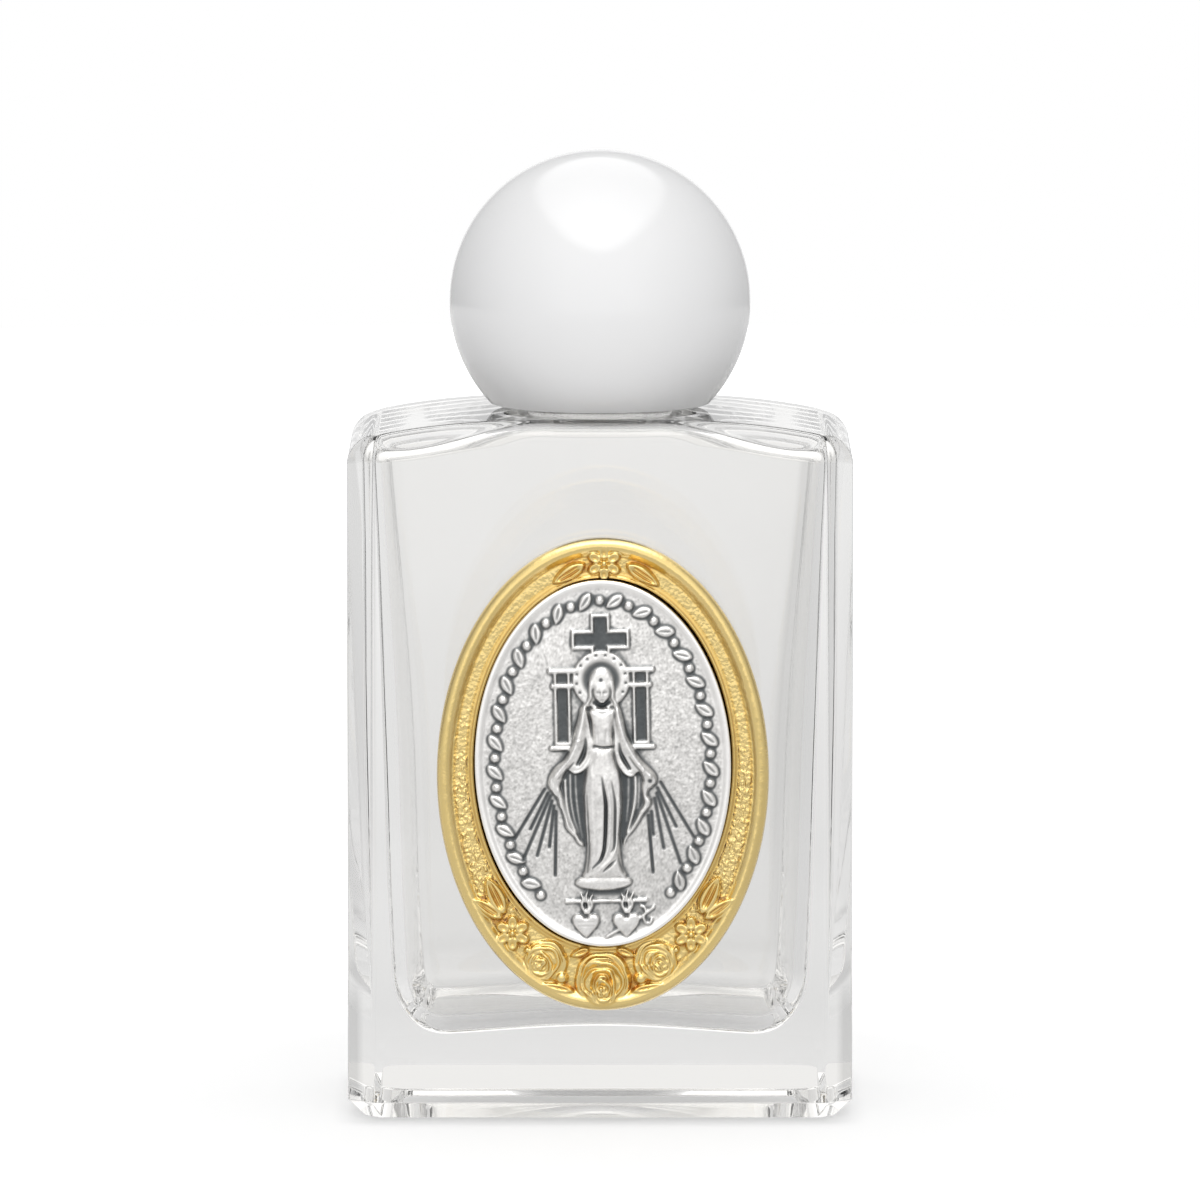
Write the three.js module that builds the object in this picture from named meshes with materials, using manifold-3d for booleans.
// A small holy water bottle: a heavy clear glass flask with chamfered corners, a white screw cap shaped
// like a ball, and an oval devotional medal, a silver-tone plate in a gold-tone rose frame, on its front.
// Millimetres, +Z up. The medal faces -Y. The origin is on the surface that the bottle stands on, in the
// middle of the footprint of the bottle with its medal.
import * as THREE from "three";
import { mergeVertices } from "three/addons/utils/BufferGeometryUtils.js";
import Module from "manifold-3d";

// Glass body, outside
const bodyWidth = 44;
const bodyDepth = 26.6;
const cornerChamfer = 2.2;
const heelBevel = 1.5; // the edge round the foot is cut at 45 degrees
const shoulderHeight = 61.2; // at the neck, above the foot
const shoulderDrop = 2.0; // how much lower the shoulder is at the two sides
const shoulderRadius = 2.0;
const bearingWidth = 1.0; // flat ring that the bottle stands on
const footRecess = 2.5;
const recessCorner = 3.0;
const recessRadius = 0.5; // between the recess's wall and its ceiling
const recessDraft = 0.3; // how far its wall leans in

// Glass body, inside
const sideWallTop = 2.35;
const sideWallFoot = 3.8;
const faceWallTop = 2.2;
const faceWallFoot = 2.8;
const roofThickness = 1.25; // at the neck
const roofDrop = 1.8; // how much lower the roof of the cavity is at the two sides
const roofFall = [5, 20]; // from and to where it gets lower, out from the middle
const floorThickness = 6.7;
const floorCrown = 1.3;
const cavityCorner = 3.2;
const roofRadius = 0.8;
const floorCornerWidth = 4.8; // the corner between floor and walls is a quarter of an oval
const floorCornerHeight = 6.0;

// Neck and its screw thread
const neckRadius = 6.3;
const neckHeight = 9.65;
const neckFillet = 0.6;
const boreRadius = 3.8;
const lipRadius = 0.5;
const threadPitch = 2.5;
const threadHeight = 0.7;
const threadRootWidth = 1.2;
const threadCrestWidth = 0.6;
const neckThreadTurns = 1.6;
const neckThreadStart = 2.45; // above the shoulder
const threadClearance = 0.25;

// Ball cap, its screw sleeve and the sealing disc
const ballInset = 0.1; // the ball stays this far inside the body's front and back, so the bottle lies flat
const ballRadius = bodyDepth / 2 - ballInset;
const ballFlatDepth = 9.0; // from the ball's centre down to its flat underside
const ballEdgeRadius = 0.3;
const capGap = 0.3; // between the shoulder and the cap
const sleeveWall = 0.8;
const sleeveRoof = 1.0;
const sleeveRecess = 0.15; // the sleeve's mouth lies this far up inside the ball
const sleeveThreadTurns = 1.25;
const sleeveThreadStart = 1.7; // above the sleeve's mouth
const ribCount = 24;
const ribHeight = 0.25;
const capFit = 0.1; // between the ribbed sleeve and the ball
const coreRadius = 5.5; // moulding core above the sleeve
const ballCrownWall = 4.0;
const linerThickness = 1.0;
const linerFit = 0.1; // round the disc, and above and below it

// Medal: the frame, the plate in it, and the adhesive behind each
const frameHalfWidth = 14.4;
const frameHalfHeight = 20.65;
const frameCentreHeight = 30.6;
const medalOffset = 0.25; // how far right of the bottle's middle the medal sits
const frameFloor = 0.8;
const frameSide = 1.1; // height of the frame's outer wall
const rimHeight = 2.0;
const rimCrestInset = 0.75;
const valleyHeight = 1.45;
const valleyInset = 1.6;
const lipHeight = 1.75;
const lipWidth = 0.5;
const plateHalfWidth = 11.1;
const plateHalfHeight = 16.0;
const plateRise = 1.07; // the plate's centre above the frame's centre
const plateEdge = 1.35; // height of the plate's raised border
const plateEdgeRadius = 0.4;
const borderWidth = 1.0;
const borderStep = 0.25; // how far the plate's field lies below its border
const plateDome = 0.6; // how much the field swells towards its centre
const plateClearance = 0.15;
const padThickness = 0.35;
const padInset = 2.0;
const glueThickness = 0.12;
const glueInset = 0.8;
const seatGap = 0.05; // left between faces that are glued together

// Ornaments on the frame, placed from the frame's centre
const bigRose = { radius: 2.45, x: 0, y: -17.85, rise: 1.05 };
const sideRose = { radius: 1.9, x: 4.75, y: -16.3, rise: 0.85 };
const lowBlossom = { radius: 1.45, x: 7.75, y: -13.85, rise: 0.6 };
const topBlossom = { radius: 1.5, x: 0, y: 18.55, rise: 0.6 };
const topLeaf = { length: 3.25, width: 1.25, x: 1.8, y: 18.4, lean: -32, rise: 0.5 };
const innerLeaf = { length: 3.55, width: 1.6, x: 8.5, y: -12.1, lean: 64, rise: 0.5 };
const outerLeaf = { length: 3.0, width: 1.15, x: 8.8, y: -12.55, lean: 34, rise: 0.45 };
const lowLeaf = { length: 2.7, width: 0.75, x: 2.6, y: -18.9, lean: 13, rise: 0.5 };
const gapLeaf = { length: 1.7, width: 0.75, x: 1.35, y: -15.25, lean: -22, rise: 0.4 };
const bud = { radius: 0.6, x: 3.45, y: -17.75, rise: 0.75 };
const ornamentSink = 0.5; // how deep an ornament's root lies in the frame

// Relief on the plate, placed from the plate's centre
const plateTurn = 1.2; // degrees that the plate sits turned in its frame
const reliefRoot = 0.8; // how deep the relief's roots lie below the field
const halo = { y: 7.4, radius: 2.56, inner: 1.35, height: 0.3 };
const haloPit = { count: 12, ring: 2.15, radius: 0.17, depth: 0.2, from: -30, to: 210 };
const cross = { top: 13.15, armTop: 11.75, armHalf: 2.55, bar: 1.75, line: 0.36, height: 0.3 };
const column = { x: 3.4, half: 0.75, low: 1.7, high: 8.3, line: 0.35, height: 0.3 };
const columnBars = [{ y: 8.2, halfX: 1.25 }, { y: 6.9, halfX: 1.0 }, { y: 1.5, halfX: 1.2 }];
const columnBarWidth = 0.45;
const hand = { x: 4.1, y: -1.5, halfWidth: 0.5, halfHeight: 0.85, height: 0.6, lean: 20 };
const arm = { x: 1.55, y: 4.7, lean: -67 };
const globe = { y: -10.4, halfWidth: 2.45, halfHeight: 0.65, height: 0.6 };
const groundLine = { half: 3.4, y: -11.95, width: 0.28, height: 0.25 };
const heart = { x: 1.75, half: 1.2, top: -13.25, depth: 2.2, height: 0.4 };
const flame = { length: 1.3, width: 0.9, rise: 0.3, y: -12.85 };
const sword = { fromX: 0.1, fromY: -15.1, toX: 4.3, toY: -12.45, width: 0.28, guard: 1.4, height: 0.4 };
const raysFromHand = [
  [5.0, -1.85, 7.8, -6.5], [4.75, -2.3, 6.35, -5.6], [4.6, -2.6, 6.85, -8.55],
  [4.45, -3.1, 5.5, -7.7], [4.2, -3.9, 4.5, -6.7], [4.0, -4.3, 4.25, -9.6],
];
const rayCut = { width: 0.2, depth: 0.2 };
const garland = { halfWidth: 9.35, halfHeight: 14.25, from: -53, pairs: 24, rise: 0.35 };
const garlandLeaf = { length: 1.75, width: 0.95, lean: 45 };
const garlandBead = 0.4;

// How finely the round shapes are faceted
const sideSteps = 3;
const cornerSteps = 4;
const faceSteps = 5;
const quarterSteps = sideSteps + cornerSteps + faceSteps;
const roundSteps = 4 * quarterSteps;
const ovalSteps = 56;
const threadSteps = 24; // in one turn
const cornerGrid = 0.002;

const wasm = await Module();
wasm.setup();

const radians = THREE.MathUtils.degToRad;
const mix = THREE.MathUtils.lerp;
const smooth = THREE.MathUtils.smoothstep;

// Shapes: rings of points joined into closed skins, and solids joined and cut

function skin(rings) {
  const positions = [];
  const faces = [];
  const starts = rings.map((ring) => {
    const start = positions.length / 3;
    ring.forEach((point) => positions.push(...point));
    return start;
  });
  for (let r = 0; r + 1 < rings.length; r++) {
    const low = rings[r].length;
    const high = rings[r + 1].length;
    const count = Math.max(low, high);
    for (let i = 0; i < count; i++) {
      const j = (i + 1) % count;
      const a = starts[r] + (low === 1 ? 0 : i);
      const b = starts[r] + (low === 1 ? 0 : j);
      const c = starts[r + 1] + (high === 1 ? 0 : j);
      const d = starts[r + 1] + (high === 1 ? 0 : i);
      if (a !== b) faces.push(a, b, c);
      if (c !== d) faces.push(a, c, d);
    }
  }
  const geometry = new THREE.BufferGeometry();
  geometry.setAttribute("position", new THREE.Float32BufferAttribute(positions, 3));
  geometry.setIndex(faces);
  return geometry;
}

// The geometry with shared corners merged, and without the faces that this leaves with no area.
function welded(geometry, tolerance) {
  const merged = mergeVertices(geometry, tolerance);
  const faces = [];
  for (let i = 0; i < merged.index.count; i += 3) {
    const [a, b, c] = merged.index.array.slice(i, i + 3);
    if (a !== b && b !== c && c !== a) faces.push(a, b, c);
  }
  merged.setIndex(faces);
  return merged;
}

function solid(geometry) {
  const bare = geometry.clone();
  bare.deleteAttribute("normal");
  bare.deleteAttribute("uv");
  const { attributes, index } = welded(bare, 1e-4);
  const vertProperties = attributes.position.array;
  const make = (triVerts) => new wasm.Manifold(new wasm.Mesh({ numProp: 3, vertProperties, triVerts }));
  const made = make(new Uint32Array(index.array));
  return made.volume() > 0 ? made : make(new Uint32Array(index.array).reverse());
}

// The solid as a geometry, its corners on a fine grid so that none are almost but not quite together.
function geometryOf(made) {
  const { vertProperties, triVerts } = made.getMesh();
  const onGrid = Float32Array.from(vertProperties, (v) => Math.round(v / cornerGrid) * cornerGrid);
  const indexed = new THREE.BufferGeometry();
  indexed.setAttribute("position", new THREE.BufferAttribute(onGrid, 3));
  indexed.setIndex(new THREE.BufferAttribute(new Uint32Array(triVerts), 1));
  const flat = welded(indexed, cornerGrid / 4).toNonIndexed();
  flat.computeVertexNormals();
  return flat;
}

const joined = (...solids) => solids.reduce((all, one) => all.add(one));

function revolved(profile, steps = roundSteps) {
  const points = profile.map(([r, z]) => new THREE.Vector2(r, z));
  return new THREE.LatheGeometry(points, steps).rotateX(Math.PI / 2);
}

// An upright rounded or chamfered rectangle as a ring of points, its quarters mirrored.
function rectangleRing(halfX, halfY, corner, isRound) {
  const quarter = [];
  for (let i = 0; i < sideSteps; i++) quarter.push([halfX, ((halfY - corner) * i) / sideSteps]);
  for (let i = 0; i < cornerSteps; i++) {
    const turn = (Math.PI / 2) * (i / cornerSteps);
    const along = isRound ? [Math.cos(turn), Math.sin(turn)] : [1 - i / cornerSteps, i / cornerSteps];
    quarter.push([halfX - corner * (1 - along[0]), halfY - corner * (1 - along[1])]);
  }
  for (let i = 0; i <= faceSteps; i++) quarter.push([(halfX - corner) * (1 - i / faceSteps), halfY]);
  return mirrored(quarter);
}

function circleRing(radius) {
  const quarter = [];
  for (let i = 0; i <= quarterSteps; i++) {
    const turn = (Math.PI / 2) * (i / quarterSteps);
    quarter.push([radius * Math.cos(turn), radius * Math.sin(turn)]);
  }
  return mirrored(quarter);
}

function mirrored(quarter) {
  const ahead = quarter.slice(0, -1);
  const back = quarter.slice(1).reverse();
  return [
    ...ahead,
    ...back.map(([x, y]) => [-x, y]),
    ...ahead.map(([x, y]) => [-x, -y]),
    ...back.map(([x, y]) => [x, -y]),
  ];
}

function atHeight(ring, height) {
  return ring.map(([x, y]) => [x, y, typeof height === "number" ? height : height(x, y)]);
}

function between(ringA, ringB, share) {
  return ringA.map(([x, y], i) => [mix(x, ringB[i][0], share), mix(y, ringB[i][1], share)]);
}

// Glass bottle

const halfWidth = bodyWidth / 2;
const halfDepth = bodyDepth / 2;
const lipTop = shoulderHeight + neckHeight;
const shoulderTop = (x) => shoulderHeight - shoulderDrop * (Math.abs(x) / halfWidth) ** 3;
const cavityRoof = (x) => shoulderHeight - roofThickness - roofDrop * smooth(Math.abs(x), ...roofFall);

// The chamfered outline of the body, moved in by an inset. A chamfer shrinks less than the sides do.
function bodyRing(inset) {
  const corner = cornerChamfer - inset * (2 - Math.SQRT2);
  return rectangleRing(halfWidth - inset, halfDepth - inset, corner, false);
}

function recessRing(inset) {
  const edge = heelBevel + bearingWidth + inset;
  return rectangleRing(halfWidth - edge, halfDepth - edge, recessCorner - inset, true);
}

function cavityRing(height, inset) {
  const share = (height - floorThickness) / (shoulderHeight - roofThickness - floorThickness);
  const halfX = halfWidth - mix(sideWallFoot, sideWallTop, share) - inset;
  const halfY = halfDepth - mix(faceWallFoot, faceWallTop, share) - inset;
  return rectangleRing(halfX, halfY, Math.max(cavityCorner - inset * 0.6, 0.6), true);
}

function bottleSkin() {
  const rings = [];
  rings.push([[0, 0, footRecess]]);
  for (const turn of [0, 30, 60, 90].map(radians)) {
    const inset = recessDraft + recessRadius * (1 - Math.sin(turn));
    rings.push(atHeight(recessRing(inset), footRecess - recessRadius * (1 - Math.cos(turn))));
  }
  rings.push(atHeight(recessRing(0), 0), atHeight(bodyRing(heelBevel), 0), atHeight(bodyRing(0), heelBevel));
  for (const turn of [0, 22.5, 45, 67.5, 90].map(radians)) {
    const below = shoulderRadius * (1 - Math.sin(turn));
    rings.push(atHeight(bodyRing(shoulderRadius * (1 - Math.cos(turn))), (x) => shoulderTop(x) - below));
  }
  const shoulderEdge = bodyRing(shoulderRadius);
  const neckFoot = circleRing(neckRadius + neckFillet);
  for (const share of [0.35, 0.7, 1]) {
    rings.push(atHeight(between(shoulderEdge, neckFoot, share), shoulderTop));
  }
  const filletBend = neckFillet * (1 - Math.SQRT1_2);
  rings.push(atHeight(circleRing(neckRadius + filletBend), shoulderHeight + filletBend));
  rings.push(atHeight(circleRing(neckRadius), shoulderHeight + neckFillet));
  for (const turn of [0, 45, 90].map(radians)) {
    const radius = neckRadius - lipRadius * (1 - Math.cos(turn));
    rings.push(atHeight(circleRing(radius), lipTop - lipRadius * (1 - Math.sin(turn))));
  }
  rings.push(atHeight(circleRing(boreRadius + lipRadius), lipTop));
  rings.push(atHeight(circleRing(boreRadius), lipTop - lipRadius));
  rings.push(atHeight(circleRing(boreRadius), shoulderHeight - roofThickness + neckFillet));
  const boreMouth = circleRing(boreRadius + neckFillet);
  const roofEdge = cavityRing(shoulderHeight - roofThickness, roofRadius);
  for (const share of [0, 0.4, 0.75]) rings.push(atHeight(between(boreMouth, roofEdge, share), cavityRoof));
  for (const turn of [90, 60, 30, 0].map(radians)) {
    const ring = cavityRing(shoulderHeight - roofThickness, roofRadius * (1 - Math.cos(turn)));
    rings.push(atHeight(ring, (x) => cavityRoof(x) - roofRadius * (1 - Math.sin(turn))));
  }
  const lowRing = cavityRing(floorThickness, 0);
  const spanX = lowRing[0][0];
  const spanY = lowRing[quarterSteps][1];
  const floor = (x, y) => {
    const across = 1 - smooth(Math.abs(x), 0, spanX);
    return floorThickness + floorCrown * across * (1 - smooth(Math.abs(y), 0, spanY) / 2);
  };
  for (const turn of [0, 30, 60, 90].map(radians)) {
    const ring = cavityRing(floorThickness, floorCornerWidth * (1 - Math.cos(turn)));
    rings.push(atHeight(ring, (x, y) => floor(x, y) + floorCornerHeight * (1 - Math.sin(turn))));
  }
  const floorEdge = cavityRing(floorThickness, floorCornerWidth);
  for (const share of [0.4, 0.75]) rings.push(atHeight(between(floorEdge, circleRing(0), share), floor));
  rings.push([[0, 0, floor(0, 0)]]);
  return skin(rings);
}

// A screw ridge from its root to its crest, fading out over a tenth of a turn at both ends.
function threadRidge(root, crest, start, turns) {
  const rings = [];
  const steps = Math.round(turns * threadSteps);
  for (let i = 0; i <= steps; i++) {
    const turn = (i / threadSteps) * 2 * Math.PI;
    const height = start + (i / threadSteps) * threadPitch;
    const fade = smooth(Math.min(i, steps - i), -0.5, threadSteps / 10);
    const tip = mix(root, crest, fade);
    const section = [
      [root, -threadRootWidth / 2],
      [tip, -threadCrestWidth / 2],
      [tip, threadCrestWidth / 2],
      [root, threadRootWidth / 2],
    ].map(([r, up]) => [r * Math.cos(turn), r * Math.sin(turn), height + up]);
    if (i === 0) rings.push([middle(section)]);
    rings.push(section);
    if (i === steps) rings.push([middle(section)]);
  }
  return skin(rings);
}

const middle = (points) => [0, 1, 2].map((k) => points.reduce((sum, p) => sum + p[k], 0) / points.length);

const threadRootSink = 0.3; // how deep a ridge's root lies in its wall

function glassBottle() {
  const start = shoulderHeight + neckThreadStart;
  const ridge = threadRidge(neckRadius - threadRootSink, neckRadius + threadHeight, start, neckThreadTurns);
  return joined(solid(bottleSkin()), solid(ridge));
}

// Screw cap

const ballFlat = shoulderHeight + capGap;
const ballCentre = ballFlat + ballFlatDepth;
const sleeveInner = neckRadius + threadHeight + threadClearance;
const sleeveOuter = sleeveInner + sleeveWall;
const sleeveFoot = ballFlat + sleeveRecess;
const linerFoot = lipTop + linerFit;
const sleeveCeiling = linerFoot + linerThickness + linerFit;
const sleeveTop = sleeveCeiling + sleeveRoof;
const ballBore = sleeveOuter + ribHeight + capFit;

function capBall() {
  const flatRadius = Math.sqrt(ballRadius ** 2 - ballFlatDepth ** 2);
  const boreTop = sleeveTop + capFit;
  const crown = ballCentre + ballRadius;
  const profile = [
    [0, crown - ballCrownWall],
    [coreRadius, crown - ballCrownWall],
    [coreRadius, boreTop],
    [ballBore, boreTop],
    [ballBore, ballFlat],
    [flatRadius - ballEdgeRadius, ballFlat],
  ];
  const arcStart = -Math.acos(flatRadius / ballRadius) + ballEdgeRadius / ballRadius;
  const arcSteps = 14;
  for (let i = 0; i < arcSteps; i++) {
    const rise = mix(arcStart, Math.PI / 2, i / arcSteps);
    profile.push([ballRadius * Math.cos(rise), ballCentre + ballRadius * Math.sin(rise)]);
  }
  profile.push([0, crown]);
  return solid(revolved(profile));
}

function capSleeve() {
  const outline = new THREE.Shape();
  const pitch = (2 * Math.PI) / ribCount;
  const corners = [[0, 0], [0.5, 0], [0.62, ribHeight], [0.88, ribHeight]];
  for (let i = 0; i < ribCount; i++) {
    for (const [share, rise] of corners) {
      const turn = (i + share) * pitch;
      const r = sleeveOuter + rise;
      if (i === 0 && share === 0) outline.moveTo(r * Math.cos(turn), r * Math.sin(turn));
      else outline.lineTo(r * Math.cos(turn), r * Math.sin(turn));
    }
  }
  const body = new THREE.ExtrudeGeometry(outline, { depth: sleeveTop - sleeveFoot, bevelEnabled: false });
  body.translate(0, 0, sleeveFoot);
  const below = sleeveFoot - 1;
  const bore = [[0, below], [sleeveInner, below], [sleeveInner, sleeveCeiling], [0, sleeveCeiling]];
  const crest = neckRadius + threadClearance;
  const start = sleeveFoot + sleeveThreadStart;
  const ridge = threadRidge(sleeveInner + threadRootSink, crest, start, sleeveThreadTurns);
  const turned = ridge.rotateZ(sleeveThreadTurn());
  return solid(body).subtract(solid(revolved(bore))).add(solid(turned));
}

// The turn that puts the sleeve's ridge midway between two turns of the neck's ridge.
function sleeveThreadTurn() {
  const offset = sleeveFoot + sleeveThreadStart - (shoulderHeight + neckThreadStart);
  const share = offset / threadPitch - 0.5;
  return (share - Math.floor(share)) * 2 * Math.PI;
}

function capLiner() {
  const radius = sleeveInner - linerFit;
  const top = linerFoot + linerThickness;
  return solid(revolved([[0, linerFoot], [radius, linerFoot], [radius, top], [0, top]]));
}

// Medal. Its own frame has x to the right, y up the bottle and z out of the glass.

function ovalRing(halfX, halfY, centre, height) {
  const ring = [];
  for (let i = 0; i < ovalSteps; i++) {
    const turn = (2 * Math.PI * i) / ovalSteps;
    ring.push([halfX * Math.cos(turn), centre + halfY * Math.sin(turn), height]);
  }
  return ring;
}

const frameFoot = seatGap + padThickness + seatGap;
const glueFoot = frameFoot + frameFloor + seatGap;
const plateFoot = glueFoot + glueThickness + seatGap;
const pocketHalfWidth = plateHalfWidth + plateClearance;
const pocketHalfHeight = plateHalfHeight + plateClearance;

const frameOval = (inset, height) => ovalRing(frameHalfWidth - inset, frameHalfHeight - inset, 0, height);
const pocketOval = (outset, height) =>
  ovalRing(pocketHalfWidth + outset, pocketHalfHeight + outset, plateRise, height);

function frameSkin() {
  return skin([
    [[0, plateRise, 0]],
    frameOval(0.3, 0),
    frameOval(0, 0.3),
    frameOval(0, frameSide),
    frameOval(0.22, mix(frameSide, rimHeight, 0.75)),
    frameOval(rimCrestInset, rimHeight),
    frameOval(mix(rimCrestInset, valleyInset, 0.6), mix(rimHeight, valleyHeight, 0.4)),
    frameOval(valleyInset, valleyHeight),
    pocketOval(lipWidth, mix(valleyHeight, lipHeight, 0.6)),
    pocketOval(lipWidth / 2, lipHeight),
    pocketOval(0, lipHeight),
    pocketOval(0, frameFloor),
    [[0, plateRise, frameFloor]],
  ]);
}

// A raised ornament on a flat root. edge gives its outline's radius and rise its height at a share of it.
function mound(edge, rise, shares, steps, height) {
  const rings = [[[0, 0, -ornamentSink]]];
  const ringAt = (share, z) => {
    const ring = [];
    for (let i = 0; i < steps; i++) {
      const turn = (2 * Math.PI * i) / steps;
      const [x, y] = edge(turn);
      ring.push([x * share, y * share, z === undefined ? height * rise(share, turn) : z]);
    }
    return ring;
  };
  rings.push(ringAt(1, -ornamentSink));
  for (const share of shares) rings.push(ringAt(share));
  rings.push([[0, 0, height * rise(0, 0)]]);
  return skin(rings);
}

// A rose: three whorls of petals, each with a raised rim, round a raised heart.
function rose({ radius, rise }) {
  const petals = 5;
  const edge = (turn) => {
    const r = radius * (1 - 0.06 * (1 + Math.cos(petals * turn)) / 2);
    return [r * Math.cos(turn), r * Math.sin(turn)];
  };
  const whorls = [[1, 0.35], [0.9, 0.72], [0.74, 0.55], [0.62, 0.92], [0.46, 0.72], [0.34, 1], [0.16, 0.82]];
  const shape = (share, turn) => {
    const ring = whorls.findIndex(([s]) => s === share);
    const lift = ring < 0 ? 0.95 : whorls[ring][1];
    return lift * (1 + 0.07 * Math.cos(petals * turn + ring));
  };
  return mound(edge, shape, whorls.map(([s]) => s), 20, rise);
}

// A blossom of six round petals with a button in the middle.
function blossom({ radius, rise }) {
  const petals = 6;
  const edge = (turn) => {
    const r = radius * (0.72 + 0.28 * Math.abs(Math.cos((petals * turn) / 2)));
    return [r * Math.cos(turn), r * Math.sin(turn)];
  };
  const heights = { 1: 0.25, 0.75: 0.85, 0.38: 0.45, 0.22: 1 };
  return mound(edge, (share) => heights[share] ?? 1, [1, 0.75, 0.38, 0.22], 24, rise);
}

const roundEdge = (radius) => (turn) => [radius * Math.cos(turn), radius * Math.sin(turn)];
const roundTop = (share) => Math.sqrt(1 - 0.9 * share ** 2);

// A pointed leaf, raised along its middle, from its stem at the origin.
function leaf({ length, width, rise }, steps = 12) {
  const halfAt = (turn) => (width / 2) * Math.abs(Math.sin(turn)) ** 0.4;
  const edge = (turn) => [(length / 2) * Math.cos(turn), halfAt(turn) * Math.sin(turn)];
  const heights = { 1: 0.2, 0.55: 0.75 };
  const made = mound(edge, (share) => heights[share] ?? 1, [1, 0.55], steps, rise);
  return made.translate(length / 2, 0, 0);
}

function placed(geometry, { x, y, lean = 0 }, side) {
  const turned = geometry.rotateZ(radians(lean)).scale(side, 1, 1);
  return solid(turned.translate(side * x, y, valleyHeight));
}

function medalFrame() {
  const ornaments = [placed(rose(bigRose), bigRose, 1), placed(blossom(topBlossom), topBlossom, 1)];
  for (const side of [1, -1]) {
    ornaments.push(placed(rose(sideRose), sideRose, side));
    ornaments.push(placed(blossom(lowBlossom), lowBlossom, side));
    ornaments.push(placed(mound(roundEdge(bud.radius), roundTop, [1, 0.7], 10, bud.rise), bud, side));
    for (const shape of [topLeaf, innerLeaf, outerLeaf, lowLeaf, gapLeaf]) {
      ornaments.push(placed(leaf(shape), shape, side));
    }
  }
  const above = rimHeight + bigRose.rise;
  const pocket = solid(skin([
    [[0, plateRise, frameFloor]],
    pocketOval(0, frameFloor),
    pocketOval(0, above),
    [[0, plateRise, above]],
  ]));
  const within = solid(skin([[[0, 0, -1]], frameOval(0, -1), frameOval(0, above), [[0, 0, above]]]));
  return joined(solid(frameSkin()), ...ornaments).subtract(pocket).intersect(within);
}

// Plate with its relief: a robed figure with a halo under a cross, two hearts below, a garland round it

const fieldWidth = plateHalfWidth - borderWidth;
const fieldHeight = plateHalfHeight - borderWidth;
const plateOval = (inset, height) => ovalRing(plateHalfWidth - inset, plateHalfHeight - inset, 0, height);
function fieldOval(share) {
  return ovalRing(fieldWidth * share, fieldHeight * share, 0, fieldAt(fieldWidth * share, 0));
}

function fieldAt(x, y) {
  const reach = Math.min((x / fieldWidth) ** 2 + (y / fieldHeight) ** 2, 1);
  return plateEdge - borderStep + plateDome * (1 - reach);
}

function plateSkin() {
  const bevel = plateEdgeRadius * 0.3;
  return skin([
    [[0, 0, 0]],
    plateOval(0, 0),
    plateOval(0, plateEdge - plateEdgeRadius),
    plateOval(bevel, plateEdge - bevel),
    plateOval(plateEdgeRadius, plateEdge),
    plateOval(borderWidth - 0.2, plateEdge),
    fieldOval(1),
    fieldOval(0.75),
    fieldOval(0.45),
    [[0, 0, fieldAt(0, 0)]],
  ]);
}

const onPlate = (geometry, x, y) => solid(geometry.translate(x, y, fieldAt(x, y)));

// A flat raised shape, its top level.
function raised(shape, height, x = 0, y = 0) {
  const depth = height + reliefRoot;
  const made = new THREE.ExtrudeGeometry(shape, { depth, bevelEnabled: false, curveSegments: 8 });
  return onPlate(made.translate(0, 0, -reliefRoot), x, y);
}

function raisedBar({ x = 0, y, halfX, halfY, height, lean = 0 }) {
  const bar = new THREE.BoxGeometry(2 * halfX, 2 * halfY, height + reliefRoot);
  return onPlate(bar.translate(0, 0, (height - reliefRoot) / 2).rotateZ(lean), x, y);
}

// A bar from one point to another.
function raisedStroke([fromX, fromY, toX, toY], width, height) {
  const lean = Math.atan2(toY - fromY, toX - fromX);
  const halfX = Math.hypot(toX - fromX, toY - fromY) / 2;
  return raisedBar({ x: (fromX + toX) / 2, y: (fromY + toY) / 2, halfX, halfY: width / 2, height, lean });
}

// A rounded form along y, from stations of position, half width and height above the field.
function rounded(stations, steps = 12) {
  const rings = stations.map(([y, halfX, height]) => {
    const ring = [];
    for (let i = 0; i < steps; i++) {
      const turn = (2 * Math.PI * i) / steps;
      const reach = Math.sin(turn) > 0 ? height : Math.min(height, reliefRoot);
      ring.push([halfX * Math.cos(turn), y, reach * Math.sin(turn)]);
    }
    return ring;
  });
  const [first, last] = [stations[0], stations[stations.length - 1]];
  return skin([[[0, first[0], 0]], ...rings, [[0, last[0], 0]]]);
}

function egg({ halfWidth, halfHeight, height }) {
  const turns = [-70, -40, 0, 40, 70].map(radians);
  return rounded(turns.map((t) => [halfHeight * Math.sin(t), halfWidth * Math.cos(t), height * Math.cos(t)]));
}

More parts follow.
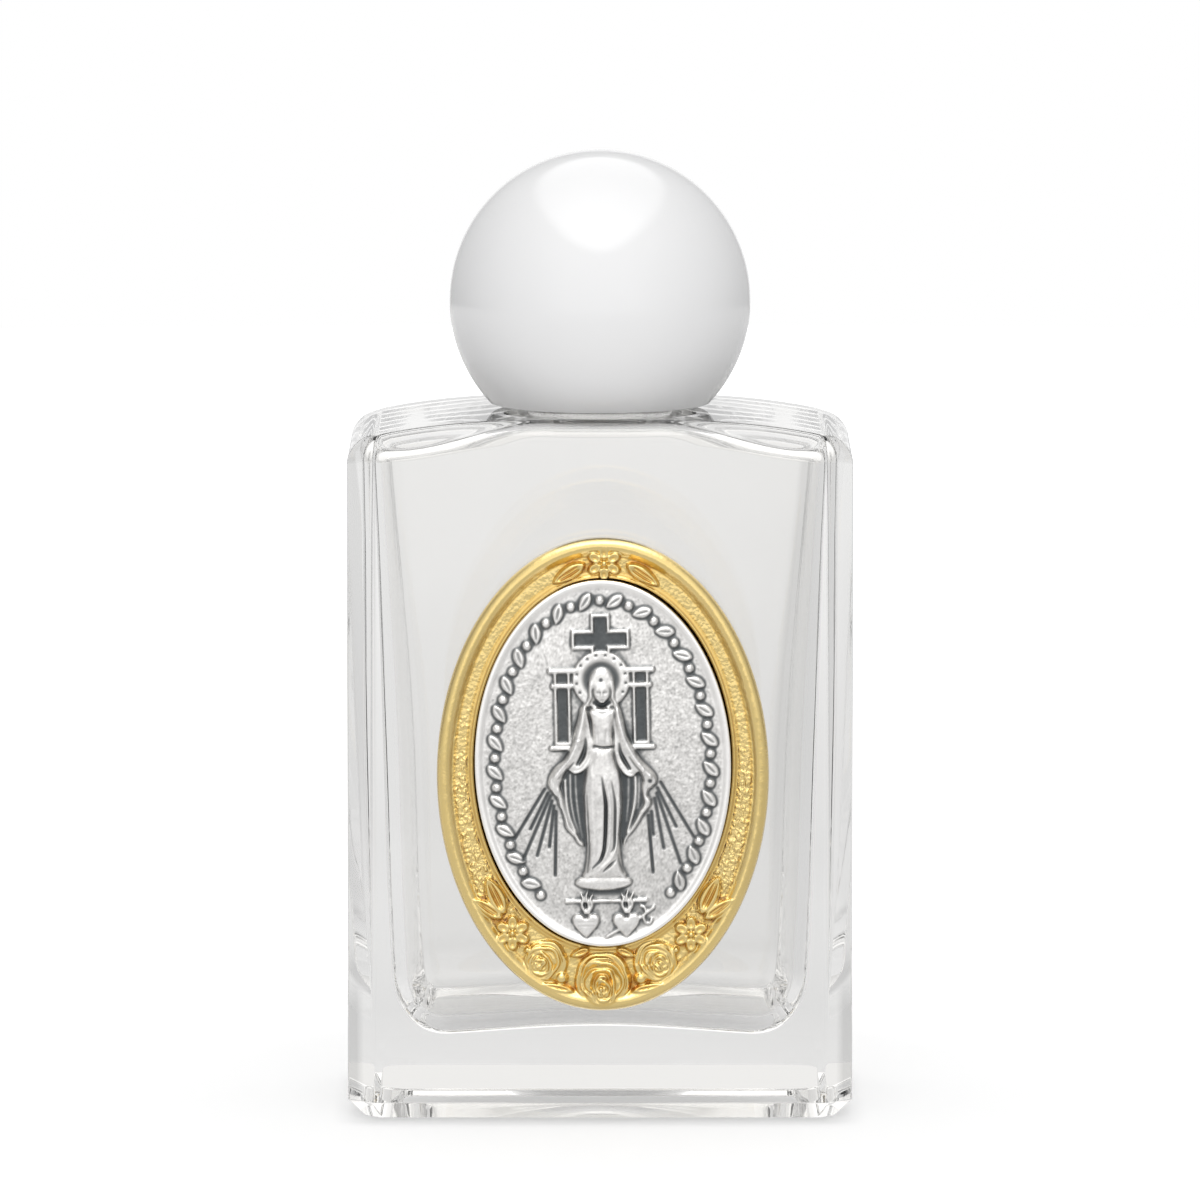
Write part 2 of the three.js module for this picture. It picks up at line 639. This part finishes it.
// The figure, top to bottom or out from the shoulder. The mantle hangs open beside the robe.
const robe = [
  [-9.8, 1.85, 0.5], [-8.0, 1.7, 0.7], [-5.0, 1.65, 0.75], [-1.6, 1.6, 0.8], [0.4, 1.2, 0.8],
  [1.5, 0.9, 0.7], [3.0, 1.05, 0.8], [4.8, 1.1, 0.75],
];
const veil = [
  [4.6, 1.7, 0.6], [5.4, 1.4, 0.75], [6.4, 1.2, 0.85], [7.6, 1.1, 0.8], [8.3, 0.75, 0.6], [8.6, 0.35, 0.4],
];
const face = { y: 6.5, halfWidth: 0.72, halfHeight: 1.0, height: 1.05 };
const armStations = [[0, 0.4, 0.5], [1.2, 0.6, 0.75], [3.4, 0.7, 0.8], [5.0, 0.75, 0.7], [6.2, 0.55, 0.5]];
const mantleHalf = [
  [0.8, 5.4], [1.7, 5.2], [2.0, 4.1], [2.35, 2.6], [3.1, 0.8], [4.1, -0.3], [4.7, -1.3], [4.5, -2.3],
  [4.0, -3.2], [3.5, -4.6], [3.1, -5.5], [2.4, -6.3], [1.8, -7.2], [1.0, -7.6],
];
const mantleOpening = [
  [1.5, -0.6], [3.2, -0.8], [3.5, -2.2], [3.2, -3.9], [2.7, -5.2], [2.0, -6.1], [1.5, -5.8],
];
const mantleHeight = 0.5;

const flatPoints = (points) => points.map(([x, y]) => new THREE.Vector2(x, y));

function figure() {
  const mirror = (points) => points.map(([x, y]) => [-x, y]).reverse();
  const flat = (points, height) => raised(new THREE.Shape(flatPoints(points)), height);
  const openings = [mantleOpening, mirror(mantleOpening)].map((points) => flat(points, reliefRoot));
  const parts = [
    flat([...mantleHalf, ...mirror(mantleHalf)], mantleHeight - plateDome / 3).subtract(joined(...openings)),
    onPlate(rounded(robe), 0, 0),
    onPlate(rounded(veil), 0, 0),
    onPlate(egg(face), 0, face.y),
    onPlate(egg(globe), 0, globe.y),
  ];
  for (const side of [1, -1]) {
    const sleeve = rounded(armStations).rotateZ(radians(arm.lean - 90)).scale(side, 1, 1);
    parts.push(onPlate(sleeve, side * arm.x, arm.y));
    parts.push(onPlate(egg(hand).rotateZ(radians(side * hand.lean)), side * hand.x, hand.y));
  }
  return joined(...parts);
}

// A flat ring behind the head, with small round pits along its upper part.
function haloRing() {
  const ring = new THREE.Shape(flatPoints(circleRing(halo.radius)));
  ring.holes.push(new THREE.Path(flatPoints(circleRing(halo.inner))));
  const pits = [];
  const { count, ring: pitRing, radius, depth, from, to } = haloPit;
  const top = fieldAt(0, halo.y) + halo.height;
  for (let i = 0; i < count; i++) {
    const turn = radians(mix(from, to, i / (count - 1)));
    const pit = new THREE.CylinderGeometry(radius, radius, 2 * depth, 6).rotateX(Math.PI / 2);
    pits.push(solid(pit.translate(pitRing * Math.cos(turn), halo.y + pitRing * Math.sin(turn), top)));
  }
  return raised(ring, halo.height, 0, halo.y).subtract(joined(...pits));
}

// A plain cross drawn in outline, its foot open and running into the halo.
function crossOutline() {
  const halfBar = cross.bar / 2;
  const filled = (inset, foot, height) => {
    const [y, halfY] = [(foot + cross.top - inset) / 2, (cross.top - inset - foot) / 2];
    const post = raisedBar({ y, halfX: halfBar - inset, halfY, height });
    const armY = cross.armTop - halfBar;
    return joined(post, raisedBar({ y: armY, halfX: cross.armHalf - inset, halfY: halfBar - inset, height }));
  };
  const foot = halo.y + halo.radius - cross.line;
  const inside = filled(cross.line, foot - cross.bar, cross.height + reliefRoot);
  return filled(0, foot, cross.height).subtract(inside);
}

// A slim column drawn in outline, with bars across its head and foot, one on each side of the figure.
function slimColumn(side) {
  const x = side * column.x;
  const [y, halfY] = [(column.low + column.high) / 2, (column.high - column.low) / 2];
  const post = (inset, height) => {
    return raisedBar({ x, y, halfX: column.half - inset, halfY: halfY - inset, height });
  };
  const outlined = post(0, column.height).subtract(post(column.line, column.height + reliefRoot));
  const barSize = { halfY: columnBarWidth / 2, height: column.height + 0.05 };
  const bars = columnBars.map((bar) => raisedBar({ x, ...bar, ...barSize }));
  return joined(outlined, ...bars);
}

function heartShape() {
  const { half, depth } = heart;
  const shape = new THREE.Shape();
  shape.moveTo(0, -0.3);
  shape.bezierCurveTo(0.3, 0.25, half, 0.25, half, -0.55);
  shape.bezierCurveTo(half, -1.2, 0.4, -1.5, 0, -depth);
  shape.bezierCurveTo(-0.4, -1.5, -half, -1.2, -half, -0.55);
  shape.bezierCurveTo(-half, 0.25, -0.3, 0.25, 0, -0.3);
  return shape;
}

function heartsAndSword() {
  const { fromX, fromY, toX, toY } = sword;
  const { y, half, width, height } = groundLine;
  const parts = [
    raisedBar({ y, halfX: half, halfY: width / 2, height }),
    raisedStroke([fromX, fromY, toX, toY], sword.width, sword.height + 0.1),
  ];
  for (const x of [-heart.x, heart.x]) {
    parts.push(raised(heartShape(), heart.height, x, heart.top));
    parts.push(onPlate(leaf(flame, 8).rotateZ(Math.PI / 2), x, flame.y));
  }
  const guardShare = 0.82;
  const [guardX, guardY] = [mix(fromX, toX, guardShare), mix(fromY, toY, guardShare)];
  const lean = Math.atan2(toY - fromY, toX - fromX);
  const guardSize = { halfX: sword.width / 2, halfY: sword.guard / 2, height: sword.height };
  parts.push(raisedBar({ x: guardX, y: guardY, ...guardSize, lean }));
  return joined(...parts);
}

// Rays cut into the field, fanning down from each hand.
function rays() {
  const cuts = [];
  for (const side of [1, -1]) {
    for (const [fromX, fromY, toX, toY] of raysFromHand) {
      const [acrossX, acrossY] = [toX - fromX, toY - fromY];
      const cut = new THREE.BoxGeometry(Math.hypot(acrossX, acrossY), rayCut.width, 2 * rayCut.depth);
      cut.rotateZ(Math.atan2(acrossY, acrossX));
      const [x, y] = [(fromX + toX) / 2, (fromY + toY) / 2];
      cuts.push(solid(cut.translate(x, y, fieldAt(x, y)).scale(side, 1, 1)));
    }
  }
  return joined(...cuts);
}

// Points evenly spaced along the garland's oval, each with the direction of the oval there.
function garlandPoints(count) {
  const [from, to] = [garland.from, 180 - garland.from].map(radians);
  const at = (turn) => [garland.halfWidth * Math.cos(turn), garland.halfHeight * Math.sin(turn)];
  const fine = 720;
  const lengths = [0];
  for (let i = 1; i <= fine; i++) {
    const [x0, y0] = at(mix(from, to, (i - 1) / fine));
    const [x1, y1] = at(mix(from, to, i / fine));
    lengths.push(lengths[i - 1] + Math.hypot(x1 - x0, y1 - y0));
  }
  const points = [];
  for (let k = 0; k < count; k++) {
    const i = lengths.findIndex((l) => l >= (lengths[fine] * k) / (count - 1) - 1e-9);
    const turn = mix(from, to, i / fine);
    const [x, y] = at(turn);
    const lean = Math.atan2(garland.halfHeight * Math.cos(turn), -garland.halfWidth * Math.sin(turn));
    points.push({ x, y, lean });
  }
  return points;
}

function leafGarland() {
  const parts = garlandPoints(2 * garland.pairs + 1).map(({ x, y, lean }, i) => {
    const { rise } = garland;
    if (i % 2 === 0) return onPlate(mound(roundEdge(garlandBead), () => 1, [0.6], 5, rise), x, y);
    const { length, width } = garlandLeaf;
    const blade = leaf({ length, width, rise }, 6).translate(-length / 2, 0, 0);
    return onPlate(blade.rotateZ(lean + radians(garlandLeaf.lean)), x, y);
  });
  return joined(...parts);
}

function medalPlate() {
  return joined(
    solid(plateSkin()).subtract(rays()),
    leafGarland(),
    slimColumn(1),
    slimColumn(-1),
    crossOutline(),
    haloRing(),
    figure(),
    heartsAndSword(),
  );
}

function ovalPad(halfX, halfY, thickness) {
  const top = [ovalRing(halfX, halfY, 0, thickness), [[0, 0, thickness]]];
  return solid(skin([[[0, 0, 0]], ovalRing(halfX, halfY, 0, 0), ...top]));
}

const framePad = () => ovalPad(frameHalfWidth - padInset, frameHalfHeight - padInset, padThickness);
const plateGlue = () => ovalPad(plateHalfWidth - glueInset, plateHalfHeight - glueInset, glueThickness);

// Materials and the assembled bottle

const clearGlass = new THREE.MeshStandardMaterial({
  color: 0xeef1f0,
  roughness: 0.03,
  metalness: 0,
  transparent: true,
  opacity: 0.35,
});
const whitePlastic = new THREE.MeshStandardMaterial({ color: 0xf1f1f2, roughness: 0.12, metalness: 0 });
const sleevePlastic = new THREE.MeshStandardMaterial({ color: 0xe9e9e6, roughness: 0.45, metalness: 0 });
const linerFoam = new THREE.MeshStandardMaterial({ color: 0xf6f4ec, roughness: 0.8, metalness: 0 });
const goldTone = new THREE.MeshStandardMaterial({ color: 0xdcb65f, roughness: 0.28, metalness: 1 });
const silverTone = new THREE.MeshStandardMaterial({ color: 0xc8c7c4, roughness: 0.35, metalness: 1 });
const clearGel = new THREE.MeshStandardMaterial({
  color: 0xf3f3ef,
  roughness: 0.3,
  metalness: 0,
  transparent: true,
  opacity: 0.5,
});

function mesh(name, made, material) {
  const piece = new THREE.Mesh(geometryOf(made), material);
  piece.name = name;
  return piece;
}

const pad = mesh("frame_pad", framePad(), clearGel);
pad.position.z = seatGap;
const frame = mesh("medal_frame", medalFrame(), goldTone);
frame.position.z = frameFoot;
const glue = mesh("plate_glue", plateGlue(), clearGel);
glue.position.set(0, plateRise, glueFoot);
const plate = mesh("medal_plate", medalPlate(), silverTone);
plate.position.set(0, plateRise, plateFoot);
plate.rotation.z = radians(plateTurn);

const medal = new THREE.Group();
medal.add(pad, frame, glue, plate);
medal.position.set(medalOffset, -halfDepth, frameCentreHeight);
medal.rotation.x = Math.PI / 2;

const cap = new THREE.Group();
cap.add(mesh("cap_ball", capBall(), whitePlastic));
cap.add(mesh("cap_sleeve", capSleeve(), sleevePlastic));
cap.add(mesh("cap_liner", capLiner(), linerFoam));

const bottle = new THREE.Group();
bottle.add(mesh("glass_bottle", glassBottle(), clearGlass), medal, cap);
const footprint = new THREE.Box3().setFromObject(bottle);
bottle.position.y = -(footprint.min.y + footprint.max.y) / 2;

export default bottle;
